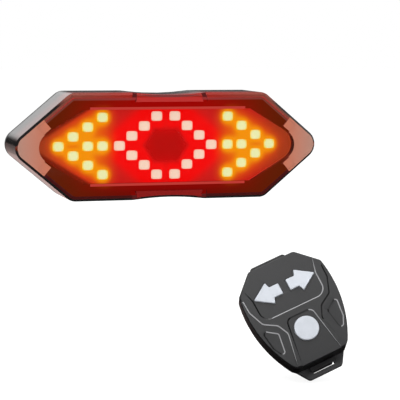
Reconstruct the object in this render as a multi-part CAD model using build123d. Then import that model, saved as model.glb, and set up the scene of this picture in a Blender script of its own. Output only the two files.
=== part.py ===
from build123d import *
import math
import os

# Bicycle turn signal light: a hexagonal tail light on a seatpost bracket, and its wireless remote.
# Lengths are millimetres and angles are degrees. The origin lies on the seatpost's axis at the
# light's mid height. +Z runs up the post, and the light faces -Y.

# Fits that all pieces share
running_gap = 0.1
key_gap = 0.3
loose_gap = 0.3
seat_gap = 0.05
overrun = 3.0

# Seatpost, its rubber pad and its strap
post_radius = 13.6
post_pad_thickness = 2.0
post_pad_half_angle = 60.0
saddle_thickness = 3.6
bracket_height = 25.0
bracket_front_half = 12.5
bracket_edge_round = 1.5
cheek_start = 13.2
cheek_end = 21.5
strap_thickness = 2.2
strap_width = 15.0
strap_leave_angle = 21.0
strap_run = 25.0
hook_start = 16.0
hook_stem = 3.2
hook_height = 8.0
hook_lip = 1.6
hook_head = 1.6

# Sliding T rail and the slot that holds it
rail_neck_width = 8.0
rail_neck_depth = 2.2
rail_head_width = 14.0
rail_head_depth = 2.4
rail_top_inset = 9.6
rail_drop = 13.0
rail_lead = 1.0
slot_wall = 3.0
slot_floor = 1.0
slot_roof = 3.0
lip_clearance = 0.4

# Outline of the light, seen from behind the bicycle
light_tip = 63.2
light_half_height = 20.6
light_slope_angle = 40.0
light_corner_round = 5.0
light_tip_round = 6.0
least_round = 0.4
scoop_half_length = 14.0
scoop_depth = 0.95
light_wall = 2.0
cover_depth = 4.0
back_edge_round = 1.6
front_chamfer = 0.9
rim_width = 0.9

# Window outline and the lens in it
frame_at_tip = 6.4
frame_at_side = 5.5
window_slope_angle = 31.4
window_corner_round = 1.0
window_tip_round = 6.3
window_depth = 2.0
ledge_width = 0.95
ledge_half_length = 31.0
ledge_rise = 0.5
lens_thickness = 1.6
flange_width = 1.2
flange_thickness = 1.0
stack_rib = 0.9

# Raised lands on the front frame
chevron_arm = 14.2
chevron_width = 5.2
chevron_arc = 7.3
chevron_arc_back = 21.1
tab_outer_half = 12.0
tab_inner_half = 13.5
tab_inner_rise = 2.0
tab_notch = 1.9
tab_notch_depth = 1.2

# Light emitting diodes: rows of the two arrows, the hexagonal ring between them and its middle
led_width = 4.2
led_height = 3.5
led_round = 0.8
led_cell_gap = 0.15
arrow_tip_back = 14.35
arrow_step = 5.75
arrow_edge = 4.09
arrow_rows = 3
ring_tip = 18.5
ring_step = 4.95
ring_edge = 3.79
ring_rows = 3
centre_half_width = 8.4
centre_half_height = 6.0
centre_slope_angle = 57.0
centre_corner_round = 1.0
centre_thickness = 0.8
centre_proud = 0.3

# Stack behind the lens
baffle_rim = 1.0
baffle_field_drop = 0.8
led_recess = 0.1
baffle_thickness = 2.55
board_thickness = 1.6
board_overlap = 0.6

# Screw bosses at the two tips and the case screws in them
boss_back = 8.6
boss_radius = 2.15
boss_board_gap = 0.4
pilot_radius = 1.0
screw_radius = 0.95
screw_head_radius = 1.9
screw_head_depth = 1.2
screw_length = 8.0
counterbore_radius = 2.1
screw_pad_radius = 2.4
screw_pad_depth = 1.2
cross_length = 2.4
cross_width = 0.6
cross_depth = 0.6

# Lap joint and gasket between the two halves of the housing
lap_width = 1.0
lap_depth = 2.1
gasket_depth = 0.65

# Battery, its tray, pad, leads and plug
battery_length = 50.0
battery_headroom = 12.2
battery_thickness = 10.0
battery_round = 3.0
battery_top_gap = 1.4
tray_gap = 0.2
tray_wall = 1.0
tray_floor = 1.0
tray_wall_depth = 4.0
tray_leg_radius = 2.0
tray_leg_inset = 2.6
tray_lift = 2.6
tray_end_floor = 8.0
tray_side_floor = 6.0
battery_pad_margin = 3.0
battery_pad_thickness = 1.5
lead_radius = 0.45
lead_spacing = 2.0
lead_reach = 12.0
lead_inset = 1.5
lead_straight = 3.6
lead_bend = 2.9
plug_length = 6.0
plug_height = 6.0
plug_thickness = 3.4

# Radio module on the back of the board
module_length = 18.0
module_height = 12.0
module_board = 0.8
module_can_length = 12.0
module_can_height = 9.0
module_can_thickness = 1.6
module_inset = 2.6

# Charging port with its hinged rubber plug
port_across = 16.0
port_width = 8.94
port_thickness = 3.26
port_depth = 6.8
port_shell = 0.3
port_mouth = 5.5
port_tongue_width = 6.6
port_tongue_thickness = 0.7
port_tongue_inset = 0.8
port_wall_gap = 0.1
port_opening_margin = 0.35
plug_recess_length = 14.6
plug_recess_width = 6.8
plug_recess_depth = 1.1
plug_hinge_radius = 0.6
plug_hinge_up = 0.6
plug_plate = 0.95
plug_bung = 0.9
plug_bung_gap = 0.35
plug_end_round = 2.0
plug_grip = 0.5
plug_grip_length = 1.6

# Power button and the switch that it presses
button_across = -18.0
button_radius = 3.3
button_proud = 0.6
button_flange = 0.8
button_flange_radius = 4.0
button_travel = 0.8
button_dish = 0.25
switch_side = 6.0
switch_thickness = 3.5
switch_stem_radius = 1.7
switch_stem = 0.6

# Where the remote lies beside the light, and how it leans, as its bar does
remote_right = 115.2
remote_ahead = 133.2
remote_below = 89.2
remote_lean_angle = 60.6
remote_turn_angle = -14.9
remote_roll_angle = 18.5

# Outline of the remote's face, about the middle of its two arrows
remote_top = 15.6
remote_top_half = 13.4
shoulder_half = 24.2
shoulder_up = 5.0
waist_half = 25.0
waist_drop = 13.0
foot_half = 16.1
foot_drop = 40.5
remote_bottom = 42.9
remote_bottom_half = 13.5
remote_corner_round = 2.5
case_depth = 9.4
case_wall = 1.6
case_edge = 0.9
case_gasket = 0.6
case_gasket_inset = 0.35
base_thickness = 2.4

# Sunk panels of the remote's face, each as shares of the shoulder's half width and the face's length
panel_drop = 0.4
facet_depth = 0.35
pad_round = 5.0
side_round = 3.5
foot_round = 2.6
facet_round = 1.0
pad_shares = [(0.996, 0.318), (0.752, 0.0), (0.744, -0.212)]
side_shares = [
    (1.2, 0.075),
    (0.975, 0.075),
    (0.962, -0.085),
    (0.82, -0.235),
    (0.537, -0.305),
    (0.425, -0.405),
    (0.585, -0.76),
    (1.2, -0.76),
]
foot_shares = [(0.485, -0.76), (0.29, -0.292)]
facet_shares = [(0.885, -0.29), (0.61, -0.372), (0.69, -0.585), (0.83, -0.47)]

# Arrow keys, mode key and what lies under them
arrow_key_tip = 17.8
arrow_key_head = 8.4
arrow_key_head_half = 6.2
arrow_key_neck = 7.4
arrow_key_tail = 2.2
arrow_key_half = 3.05
arrow_key_round = 0.5
mode_key_drop = 25.2
mode_key_radius = 6.5
key_proud = 0.4
key_edge = 0.25
key_flange_width = 0.8
key_flange = 0.7
key_stem = 0.65
key_stem_radius = 1.5
key_travel = 0.6
key_switch_side = 4.5
key_switch_body = 0.8
key_switch_dome_radius = 1.3
key_switch_dome = 0.35
arrow_switch_across = 10.5
remote_board_thickness = 1.0
remote_board_inset = 2.6
remote_boss_up = 10.0
remote_boss_half = 13.5
remote_boss_drop = 37.0
remote_boss_drop_half = 12.0
remote_boss_radius = 2.2
remote_pilot_radius = 0.85
remote_screw_radius = 0.8
remote_screw_length = 7.0
remote_screw_head = 1.0
remote_screw_head_radius = 1.6
cell_radius = 10.0
cell_thickness = 3.2
cell_edge = 0.3
cell_drop = 18.0
clip_width = 6.0
clip_thickness = 0.3
clip_foot = 2.4

# Handlebar saddle, pad, strap and the ears that the strap hangs on
bar_radius = 11.1
bar_drop = 17.0
bar_pad_thickness = 1.6
bar_pad_half_angle = 57.0
bar_saddle_wall = 1.5
bar_saddle_length = 30.0
bar_saddle_half_width = 11.5
bar_saddle_depth = 6.0
ear_slot_length = 12.4
ear_slot_width = 3.0
ear_slot_out = 2.0
ear_rim = 2.4
top_slot_width = 2.0
top_slot_out = 1.35
top_ear_rim = 1.6
ear_root_half = 15.0
ear_root_inset = 2.5
ear_play = 0.1
ear_end_half = 9.5
ear_round = 2.0
bar_strap_width = 11.6
bar_strap_thickness = 1.6
bar_strap_knee = 3.4
bar_strap_bend = 2.2
bar_strap_head_length = 15.0
bar_strap_head_width = 2.2
bar_strap_head_height = 1.8

# Places that follow from the sizes above
bracket_face = post_radius + post_pad_thickness + seat_gap + saddle_thickness
slot_cavity = rail_head_depth + 2 * running_gap
slot_lip = rail_neck_depth - lip_clearance - running_gap
slot_boss_depth = slot_floor + slot_cavity + slot_lip
lens_back = window_depth + lens_thickness
flange_back = lens_back + flange_thickness
baffle_field = flange_back + baffle_field_drop
board_front = flange_back + baffle_thickness
board_back = board_front + board_thickness
tray_front = board_back + tray_lift
battery_front = tray_front + tray_floor + seat_gap
battery_back = battery_front + battery_thickness
cover_inside = battery_back + battery_pad_thickness + 2 * seat_gap
light_depth = cover_inside + light_wall
light_front = bracket_face + lip_clearance + slot_boss_depth + light_depth
seam_depth = light_depth - cover_depth
lip_front = seam_depth - lap_depth + gasket_depth + 2 * seat_gap
button_depth = (board_back + lip_front) / 2
wall_inside = light_half_height - light_wall
rail_top = light_half_height - rail_top_inset
window_tip = light_tip - frame_at_tip
window_half_height = light_half_height - frame_at_side
chevron_arc_centre = light_tip - chevron_arc_back
tab_inner_height = window_half_height + tab_inner_rise
arrow_tip = window_tip - arrow_tip_back
arrow_rise = (window_half_height - arrow_edge) / arrow_rows
ring_rise = (window_half_height - ring_edge) / ring_rows
boss_across = light_tip - boss_back
battery_height = 2 * wall_inside - battery_headroom
battery_up = wall_inside - battery_top_gap - tray_gap - tray_wall - battery_height / 2
module_up = window_half_height - module_inset - module_height / 2
port_middle = board_back + port_thickness / 2
plug_hinge_across = port_across - plug_recess_length / 2 + plug_hinge_radius + running_gap
key_board_front = case_wall + seat_gap + key_flange + key_stem + key_travel + running_gap
key_board_front += key_switch_dome + key_switch_body
key_board_back = key_board_front + remote_board_thickness
base_top = case_depth + case_gasket
base_back = base_top + base_thickness
bar_depth = base_back + bar_saddle_wall + seat_gap + bar_pad_thickness + bar_radius
remote_length = remote_top + remote_bottom

# The light and the remote are each drawn flat: x to the right, y up, z towards the viewer
light_place = Location((0, -light_front, 0), (90, 0, 0))
remote_angles = (remote_lean_angle, remote_turn_angle, remote_roll_angle)
remote_place = Location((remote_right, remote_ahead, -remote_below), remote_angles)


def sine(angle):
    return math.sin(math.radians(angle))


def cosine(angle):
    return math.cos(math.radians(angle))


def block(x_range, y_range, depth_range):
    """Box between pairs of limits across, up and in depth behind the front."""
    spans = [sorted(x_range), sorted(y_range), sorted(-depth for depth in depth_range)]
    middle = [(low + high) / 2 for low, high in spans]
    size = [high - low for low, high in spans]
    return Pos(*middle) * Box(*size)


def plate(face, front, back):
    """Prism of a flat outline between two depths behind the front."""
    return extrude(Pos(0, 0, -back) * face, amount=back - front)


def rod(x, y, radius, front, back):
    return plate(Pos(x, y) * Circle(radius), front, back)


def down_plate(face, start, end):
    """Prism between two distances below the middle. The face has -depth as its y."""
    return Pos(0, -start, 0) * Rot(90, 0, 0) * extrude(face, amount=end - start)


def both_sides(points):
    """Path that is the same on both sides, from the points of its left side."""
    return points + [(-x, y) for x, y in reversed(points)]


def wedge(radius, low_angle, high_angle):
    """Pie slice about the origin that takes in a ring of the given radius."""
    steps = 8
    corners = [(0, 0)]
    for step in range(steps + 1):
        angle = low_angle + (high_angle - low_angle) * step / steps
        corners.append((2 * radius * cosine(angle), 2 * radius * sine(angle)))
    return make_face(Polyline(*corners, close=True))


def ring_slice(inner, outer, low_angle, high_angle):
    return (Circle(outer) - Circle(inner)) & wedge(outer, low_angle, high_angle)


# Tail light: outlines

def long_hexagon(tip, half_height, slope, corner_round, tip_round):
    """Hexagon drawn out sideways, with rounded corners and rounder tips."""
    corner = tip - half_height * cosine(slope) / sine(slope)
    outline = Polyline(
        (tip, 0),
        (corner, half_height),
        (-corner, half_height),
        (-tip, 0),
        (-corner, -half_height),
        (corner, -half_height),
        close=True,
    )
    face = make_face(outline)
    face = fillet(face.vertices().sort_by(Axis.X)[1:-1], corner_round)
    across = face.vertices().sort_by(Axis.X)
    return fillet([across[0], across[-1]], tip_round)


def light_hexagon(inset):
    """Outline of the light, drawn in by an inset, without its scoops."""
    return long_hexagon(
        light_tip - inset / sine(light_slope_angle),
        light_half_height - inset,
        light_slope_angle,
        max(light_corner_round - inset, least_round),
        max(light_tip_round - inset, least_round),
    )


def light_outline(inset):
    """Outline of the light with the long shallow scoops in its top and bottom edges."""
    scoop_radius = (scoop_half_length**2 + scoop_depth**2) / (2 * scoop_depth)
    scoop_centre = light_half_height - scoop_depth + scoop_radius
    face = light_hexagon(inset)
    for side in (1, -1):
        face -= Pos(0, side * scoop_centre) * Circle(scoop_radius + inset)
    return face


def window_outline(outset):
    return long_hexagon(
        window_tip + outset / sine(window_slope_angle),
        window_half_height + outset,
        window_slope_angle,
        window_corner_round + outset,
        window_tip_round + outset,
    )


def window_opening(gap):
    """The glazed part of the window, between the two ledges."""
    glass_half = window_half_height - ledge_width - gap
    return window_outline(-gap) & Rectangle(2 * window_tip, 2 * glass_half)


def chevron(side):
    """Flat land that wraps one tip of the light, with its arms cut off square."""
    steep, flat = sine(light_slope_angle), cosine(light_slope_angle)
    end = (light_tip - chevron_arm * flat, chevron_arm * steep)
    inner = (end[0] - chevron_width * steep, end[1] - chevron_width * flat)
    corners = [(light_tip, 0), end, inner, (chevron_arc_centre, 0), (inner[0], -inner[1]), (end[0], -end[1])]
    face = make_face(Polyline(*[(side * x, y) for x, y in corners], close=True))
    face -= Pos(side * chevron_arc_centre, 0) * Circle(chevron_arc)
    return face & light_hexagon(front_chamfer)


def tab(side, margin, top):
    """Land in the middle of a long edge: wider at the window than at the rim."""
    corners = [
        (-tab_outer_half - margin, side * top),
        (tab_outer_half + margin, side * top),
        (tab_inner_half + margin, side * tab_inner_height),
        (-tab_inner_half - margin, side * tab_inner_height),
    ]
    return make_face(Polyline(*corners, close=True))


def led_places_arrow(side):
    places = [(side * arrow_tip, 0)]
    for row in range(1, arrow_rows + 1):
        across = side * (arrow_tip - row * arrow_step)
        places += [(across, row * arrow_rise), (across, -row * arrow_rise)]
        if row > 1:
            places.append((across, 0))
    return places


def led_places_ring():
    places = [(ring_tip, 0), (-ring_tip, 0)]
    for row in range(1, ring_rows + 1):
        across = ring_tip - row * ring_step
        places += [(side * across, rise * row * ring_rise) for side in (1, -1) for rise in (1, -1)]
    return places


def centre_outline(gap):
    return long_hexagon(
        centre_half_width + gap,
        centre_half_height + gap,
        centre_slope_angle,
        centre_corner_round,
        centre_corner_round,
    )


def port_face(margin):
    """Round-ended outline of the charging port, seen from below."""
    size = (port_width + 2 * margin, port_thickness + 2 * margin)
    return Pos(port_across, -port_middle) * SlotOverall(*size)


def plug_face(gap):
    """Outline of the recess that the rubber plug lies in, seen from below."""
    size = (plug_recess_length - 2 * gap, plug_recess_width - 2 * gap)
    return Pos(port_across, -port_middle) * RectangleRounded(*size, plug_end_round - gap)


def plug_bead(gap):
    """Bead along the plug's hinge line, at the recess's end nearest the middle."""
    up = -light_half_height + plug_hinge_up
    half_length = plug_recess_width / 2 - plug_end_round + gap
    return Pos(plug_hinge_across, up, -port_middle) * Cylinder(plug_hinge_radius + gap, 2 * half_length)


# Tail light: housing

def front_housing():
    """Deep front half: wall, sloped frame round the window, lands, bosses and openings."""
    body = plate(light_outline(0), 0, seam_depth)
    body = chamfer(body.faces().sort_by(Axis.Z)[-1].edges(), front_chamfer)
    body -= plate(light_outline(light_wall), lens_back, seam_depth + overrun)
    rim = light_hexagon(front_chamfer + rim_width)
    recess = loft(Sketch() + [Pos(0, 0, -window_depth) * window_outline(0), rim])
    for side in (1, -1):
        recess -= plate(chevron(side), -overrun, window_depth)
        recess -= plate(tab(side, 0, light_half_height), -overrun, window_depth)
        tab_top = light_half_height + overrun
        recess += plate(tab(side, tab_notch, tab_top) - tab(side, 0, tab_top), 0, tab_notch_depth)
    body -= recess
    body -= plate(window_opening(0), 0, lens_back)
    for side in (1, -1):
        heights = [side * (window_half_height - ledge_width), side * window_half_height]
        depths = (window_depth - ledge_rise, lens_back)
        body += block((-ledge_half_length, ledge_half_length), heights, depths)
    rib_inside = flange_width + seat_gap
    rib = window_outline(rib_inside + stack_rib) - window_outline(rib_inside)
    body += plate(rib, lens_back, board_front)
    for side in (1, -1):
        body += rod(side * boss_across, 0, boss_radius, lens_back, cover_inside - screw_pad_depth)
        body -= rod(side * boss_across, 0, pilot_radius, board_front, cover_inside)
    rebate = light_outline(lap_width) - light_outline(light_wall + seat_gap)
    body -= plate(rebate, seam_depth - lap_depth, seam_depth + overrun)
    past_bottom = light_half_height + overrun
    body -= down_plate(plug_face(0), light_half_height - plug_recess_depth, past_bottom)
    body -= plug_bead(running_gap)
    body -= down_plate(port_face(port_opening_margin), wall_inside - overrun, light_half_height)
    return body - down_plate(button_face(button_radius + running_gap), wall_inside - overrun, past_bottom)


def rear_cover():
    """Shallow back half with its lip, screw pads and the slot that slides on the rail."""
    body = plate(light_outline(0), seam_depth, light_depth)
    body = chamfer(body.faces().sort_by(Axis.Z)[0].edges(), back_edge_round)
    body -= plate(light_outline(light_wall), seam_depth - overrun, cover_inside)
    lip = light_outline(lap_width + running_gap) - light_outline(light_wall)
    body += plate(lip, lip_front, seam_depth)
    half_width = rail_head_width / 2 + running_gap + slot_wall
    slot_bottom = -rail_drop
    slot_top = rail_top + seat_gap
    slot_back = light_depth + slot_boss_depth
    boss_heights = (slot_bottom, slot_top + slot_roof)
    boss = block((-half_width, half_width), boss_heights, (light_depth, slot_back))
    body += chamfer(boss.edges().filter_by(Axis.Z), rail_lead)
    head_half = rail_head_width / 2 + running_gap
    head_depth = (light_depth + slot_floor, light_depth + slot_floor + slot_cavity)
    body -= block((-head_half, head_half), (slot_bottom - overrun, slot_top), head_depth)
    neck_half = rail_neck_width / 2 + running_gap
    neck_depth = (head_depth[0], slot_back + overrun)
    body -= block((-neck_half, neck_half), (slot_bottom - overrun, slot_top), neck_depth)
    past_back = light_depth + overrun
    for side in (1, -1):
        x = side * boss_across
        body += rod(x, 0, screw_pad_radius, cover_inside - screw_pad_depth, cover_inside)
        body -= rod(x, 0, pilot_radius, seam_depth, past_back)
        body -= rod(x, 0, counterbore_radius, light_depth - screw_head_depth - seat_gap, past_back)
    return body


def cover_seal():
    inner = light_outline(light_wall - seat_gap)
    ring = light_outline(lap_width + seat_gap) - inner
    front = seam_depth - lap_depth + seat_gap
    return plate(ring, front, front + gasket_depth)


def pan_screw(x, y, shank_radius, head_radius, head_back, head_depth, length):
    """Screw driven in from the back, with a cross recess in its head."""
    seat = head_back - head_depth
    body = rod(x, y, head_radius, seat, head_back)
    body += rod(x, y, shank_radius, seat - length, seat)
    for size in ((cross_length, cross_width), (cross_width, cross_length)):
        body -= plate(Pos(x, y) * Rectangle(*size), head_back - cross_depth, head_back + overrun)
    return body


def case_screws():
    sizes = (screw_radius, screw_head_radius, light_depth - seat_gap, screw_head_depth, screw_length)
    return [pan_screw(side * boss_across, 0, *sizes) for side in (1, -1)]


# Tail light: lens, light emitting diodes and what carries them

def lens():
    """Clear window plate with a flange that the frame holds from the front."""
    return plate(window_opening(seat_gap), window_depth, lens_back) + plate(
        window_outline(flange_width), lens_back, flange_back
    )


def led_group(places):
    front = baffle_field + led_recess
    shape = RectangleRounded(led_width, led_height, led_round)
    return [plate(Pos(x, y) * shape, front, board_front) for x, y in places]


def brake_leds():
    return led_group(led_places_ring())


def left_turn_leds():
    return led_group(led_places_arrow(-1))


def right_turn_leds():
    return led_group(led_places_arrow(1))


def led_baffle():
    """Reflector plate with a raised edge and one rounded cell round each light."""
    body = plate(window_outline(flange_width), flange_back, board_front)
    body -= plate(window_outline(flange_width - baffle_rim), flange_back - overrun, baffle_field)
    cell_size = (led_width + 2 * led_cell_gap, led_height + 2 * led_cell_gap)
    cell = RectangleRounded(*cell_size, led_round + led_cell_gap)
    cells = Sketch()
    for x, y in led_places_arrow(1) + led_places_arrow(-1) + led_places_ring():
        cells += Pos(x, y) * cell
    body -= plate(cells, flange_back, board_front + overrun)
    pocket_back = baffle_field + centre_thickness - centre_proud
    body -= plate(centre_outline(seat_gap), flange_back, pocket_back)
    return body


def centre_reflector():
    front = baffle_field - centre_proud
    body = plate(centre_outline(0), front, front + centre_thickness)
    return chamfer(body.faces().sort_by(Axis.Z)[-1].edges(), centre_proud)


def light_board():
    face = window_outline(flange_width + board_overlap)
    for side in (1, -1):
        face -= Pos(side * boss_across, 0) * Circle(boss_radius + boss_board_gap)
    return plate(face, board_front, board_back)


# Tail light: power

def radio_module():
    """Small board with a tinned can on it."""
    can_front = board_back + module_board
    board = Pos(0, module_up) * Rectangle(module_length, module_height)
    can = Pos(0, module_up) * Rectangle(module_can_length, module_can_height)
    return plate(board, board_back, can_front) + plate(can, can_front, can_front + module_can_thickness)


def battery():
    face = Pos(0, battery_up) * Rectangle(battery_length, battery_height)
    body = plate(face, battery_front, battery_back)
    return fillet(body.edges().filter_by(Axis.X), battery_round)


def battery_tray():
    """Open frame on four legs that holds the battery off the back of the board."""
    margin = tray_gap + tray_wall
    outer = Rectangle(battery_length + 2 * margin, battery_height + 2 * margin)
    inner = Rectangle(battery_length + 2 * tray_gap, battery_height + 2 * tray_gap)
    window = Rectangle(battery_length - 2 * tray_end_floor, battery_height - 2 * tray_side_floor)
    floor_back = tray_front + tray_floor
    body = plate(Pos(0, battery_up) * (outer - window), tray_front, floor_back)
    body += plate(Pos(0, battery_up) * (outer - inner), floor_back, floor_back + tray_wall_depth)
    across = battery_length / 2 - tray_leg_inset
    rise = battery_height / 2 - tray_leg_inset
    for x in (-across, across):
        for y in (battery_up - rise, battery_up + rise):
            body += rod(x, y, tray_leg_radius, board_back, tray_front)
    return body


def battery_pad():
    size = (battery_length - 2 * battery_pad_margin, battery_height - 2 * battery_pad_margin)
    face = Pos(0, battery_up) * Rectangle(*size)
    return plate(face, battery_back + seat_gap, cover_inside - seat_gap)


def battery_leads():
    """Two leads from the battery's end down to the plug on the board."""
    start = (battery_length / 2, battery_back - lead_inset)
    end = (start[0] + lead_reach, board_back + plug_thickness / 2)
    stops = [start, (start[0] + lead_straight, start[1]), (end[0] - lead_straight, end[1]), end]
    leads = []
    for side in (1, -1):
        y = battery_up + side * lead_spacing / 2
        route = FilletPolyline(*[(x, y, -depth) for x, depth in stops], radius=lead_bend)
        section = Plane(origin=route @ 0, z_dir=route % 0) * Circle(lead_radius)
        leads.append(sweep(section, path=route))
        print("battery lead: bend radius", lead_bend, "length", route.length)
    return leads


def battery_plug():
    start = battery_length / 2 + lead_reach
    heights = (battery_up - plug_height / 2, battery_up + plug_height / 2)
    return block((start, start + plug_length), heights, (board_back, board_back + plug_thickness))


def charging_port():
    """Hollow metal mouth with a contact tongue inside."""
    mouth = wall_inside - port_wall_gap
    body = down_plate(port_face(0), mouth - port_depth, mouth)
    body -= down_plate(port_face(-port_shell), mouth - port_mouth, mouth + overrun)
    tongue = Pos(port_across, -port_middle) * Rectangle(port_tongue_width, port_tongue_thickness)
    return body + down_plate(tongue, mouth - port_mouth, mouth - port_tongue_inset)


def port_plug():
    """Rubber flap: hinge bead and neck, plate, bung in the port's opening and a finger lip."""
    inside = light_half_height - plug_plate
    neck = 2 * (plug_recess_width / 2 - plug_end_round)
    neck_end = plug_hinge_across + plug_hinge_up + running_gap
    all_round = Rectangle(plug_recess_length, plug_recess_length)
    beside_neck = all_round - Rectangle(plug_recess_length, neck)
    face = plug_face(running_gap)
    face -= Pos(plug_hinge_across - plug_recess_length / 2, -port_middle) * all_round
    face -= Pos(neck_end - plug_recess_length / 2, -port_middle) * beside_neck
    body = down_plate(face, inside, light_half_height) + plug_bead(0)
    bung = port_face(port_opening_margin - plug_bung_gap)
    body += down_plate(bung, inside - plug_bung, inside)
    grip_place = Pos(port_across + plug_recess_length / 2 - plug_end_round, -port_middle)
    grip = grip_place * Rot(0, 0, 90) * SlotOverall(plug_recess_width - plug_end_round, plug_grip_length)
    return body + down_plate(grip, light_half_height, light_half_height + plug_grip)


def button_face(radius):
    return Pos(button_across, -button_depth) * Circle(radius)


def power_button():
    """Round cap with a flange that keeps it inside the wall."""
    flange_low = wall_inside - seat_gap
    body = down_plate(button_face(button_flange_radius), flange_low - button_flange, flange_low)
    body += down_plate(button_face(button_radius), flange_low, light_half_height + button_proud)
    rim = body.faces().sort_by(Axis.Y)[0].edges()
    return chamfer(rim, button_dish)


def power_switch():
    """Side-pressed switch on the back of the board, one travel above the button."""
    stem_end = wall_inside - seat_gap - button_flange - button_travel - running_gap
    body_end = stem_end - switch_stem
    across = (button_across - switch_side / 2, button_across + switch_side / 2)
    depths = (board_back, button_depth + switch_side / 2)
    body = block(across, (-body_end, switch_thickness - body_end), depths)
    return body + down_plate(button_face(switch_stem_radius), body_end, stem_end)


# Seatpost bracket, drawn from above

def strap_point(along, out, side=1):
    """Place beside the strap's straight run, from where it leaves the post."""
    reach = post_radius + out
    x = reach * cosine(strap_leave_angle) + along * sine(strap_leave_angle)
    y = reach * sine(strap_leave_angle) - along * cosine(strap_leave_angle)
    return side * x, y


def strap_slab(low, high, inner, outer, side):
    corners = [
        strap_point(low, inner, side),
        strap_point(high, inner, side),
        strap_point(high, outer, side),
        strap_point(low, outer, side),
    ]
    return make_face(Polyline(*corners, close=True))


def standing(face, low, high):
    """Prism that stands up along the post."""
    return extrude(Pos(0, 0, low) * face, amount=high - low)


def mount_bracket():
    """Saddle with flared cheeks, a hook on each cheek and the T rail in front."""
    gap = -seat_gap
    right = [(bracket_front_half, -bracket_face), strap_point(cheek_end, gap), strap_point(cheek_start, gap)]
    left = [(-x, y) for x, y in reversed(right)]
    face = make_face(Polyline(*(right + left), close=True))
    face = fillet(face.vertices().group_by(Axis.Y)[0], bracket_edge_round)
    face -= Circle(post_radius + post_pad_thickness + seat_gap)
    half = bracket_height / 2
    body = standing(face, -half, half)
    for side in (1, -1):
        stem_end = hook_start + hook_stem
        hook_out = strap_thickness + hook_head
        hook = strap_slab(hook_start, stem_end, gap - seat_gap, hook_out, side)
        hook += strap_slab(stem_end, stem_end + hook_lip, strap_thickness + loose_gap, hook_out, side)
        body += standing(hook, -hook_height / 2, hook_height / 2)
    head_front = bracket_face + rail_neck_depth
    neck = Pos(0, -(bracket_face + head_front) / 2) * Rectangle(rail_neck_width, rail_neck_depth)
    head = Pos(0, -head_front - rail_head_depth / 2) * Rectangle(rail_head_width, rail_head_depth)
    rail = standing(neck + head, -rail_drop, rail_top)
    lead_edges = rail.faces().sort_by(Axis.Z)[-1].edges().filter_by(Axis.Y)
    return body + chamfer(lead_edges, rail_lead)


def bracket_pad():
    face = ring_slice(
        post_radius,
        post_radius + post_pad_thickness,
        -post_pad_half_angle - 90,
        post_pad_half_angle - 90,
    )
    return standing(face, -bracket_height / 2, bracket_height / 2)


def seatpost_strap():
    """Rubber band round the far side of the post, buttoned on the bracket's two hooks."""
    outer = post_radius + strap_thickness
    face = ring_slice(post_radius, outer, strap_leave_angle, 180 - strap_leave_angle)
    slots = Sketch()
    for side in (1, -1):
        face += strap_slab(0, strap_run, 0, strap_thickness, side)
        slot_end = hook_start + hook_stem + loose_gap
        slots += strap_slab(hook_start - loose_gap, slot_end, -overrun, strap_thickness + overrun, side)
    band = standing(face, -strap_width / 2, strap_width / 2)
    slot_half = hook_height / 2 + loose_gap
    return band - standing(slots, -slot_half, slot_half)


# Remote: outlines

def remote_outline(inset):
    """Shield-shaped face with bowed sides."""
    right = [
        Line((remote_top_half, remote_top), (shoulder_half, shoulder_up)),
        ThreePointArc((shoulder_half, shoulder_up), (waist_half, -waist_drop), (foot_half, -foot_drop)),
        Line((foot_half, -foot_drop), (remote_bottom_half, -remote_bottom)),
    ]
    left = [mirror(edge, about=Plane.YZ) for edge in right]
    top = Line((-remote_top_half, remote_top), (remote_top_half, remote_top))
    bottom = Line((-remote_bottom_half, -remote_bottom), (remote_bottom_half, -remote_bottom))
    face = make_face(Curve() + right + left + [top, bottom])
    face = fillet(face.vertices(), remote_corner_round)
    return offset(face, amount=-inset) if inset else face


def share_points(shares):
    return [(-across * shoulder_half, up * remote_length) for across, up in shares]


def panel(points, corner_round):
    """Panel with rounded corners, but for the corners that lie past the face's edge."""
    face = make_face(Polyline(*points, close=True))
    inner = [vertex for vertex in face.vertices() if -remote_bottom < vertex.Y < remote_top]
    inner = [vertex for vertex in inner if abs(vertex.X) < shoulder_half]
    return fillet(inner, corner_round)


def side_panel(side):
    return panel([(-side * x, y) for x, y in share_points(side_shares)], side_round)


def facet(side):
    points = [(-side * x, y) for x, y in share_points(facet_shares)]
    face = make_face(Polyline(*points, close=True))
    return fillet(face.vertices(), facet_round)


def arrow_key_face(side, margin):
    corners = [
        (arrow_key_tip, 0),
        (arrow_key_head, arrow_key_head_half),
        (arrow_key_neck, arrow_key_half),
        (arrow_key_tail, arrow_key_half),
        (arrow_key_tail, -arrow_key_half),
        (arrow_key_neck, -arrow_key_half),
        (arrow_key_head, -arrow_key_head_half),
    ]
    face = make_face(Polyline(*[(side * x, y) for x, y in corners], close=True))
    face = fillet(face.vertices(), arrow_key_round)
    return offset(face, amount=margin) if margin else face


def mode_key_face(margin):
    return Pos(0, -mode_key_drop) * Circle(mode_key_radius + margin)


def remote_bosses(radius):
    places = [(side * remote_boss_half, remote_boss_up) for side in (1, -1)]
    places += [(side * remote_boss_drop_half, -remote_boss_drop) for side in (1, -1)]
    return [Pos(x, y) * Circle(radius) for x, y in places]


# Remote: solids

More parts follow.
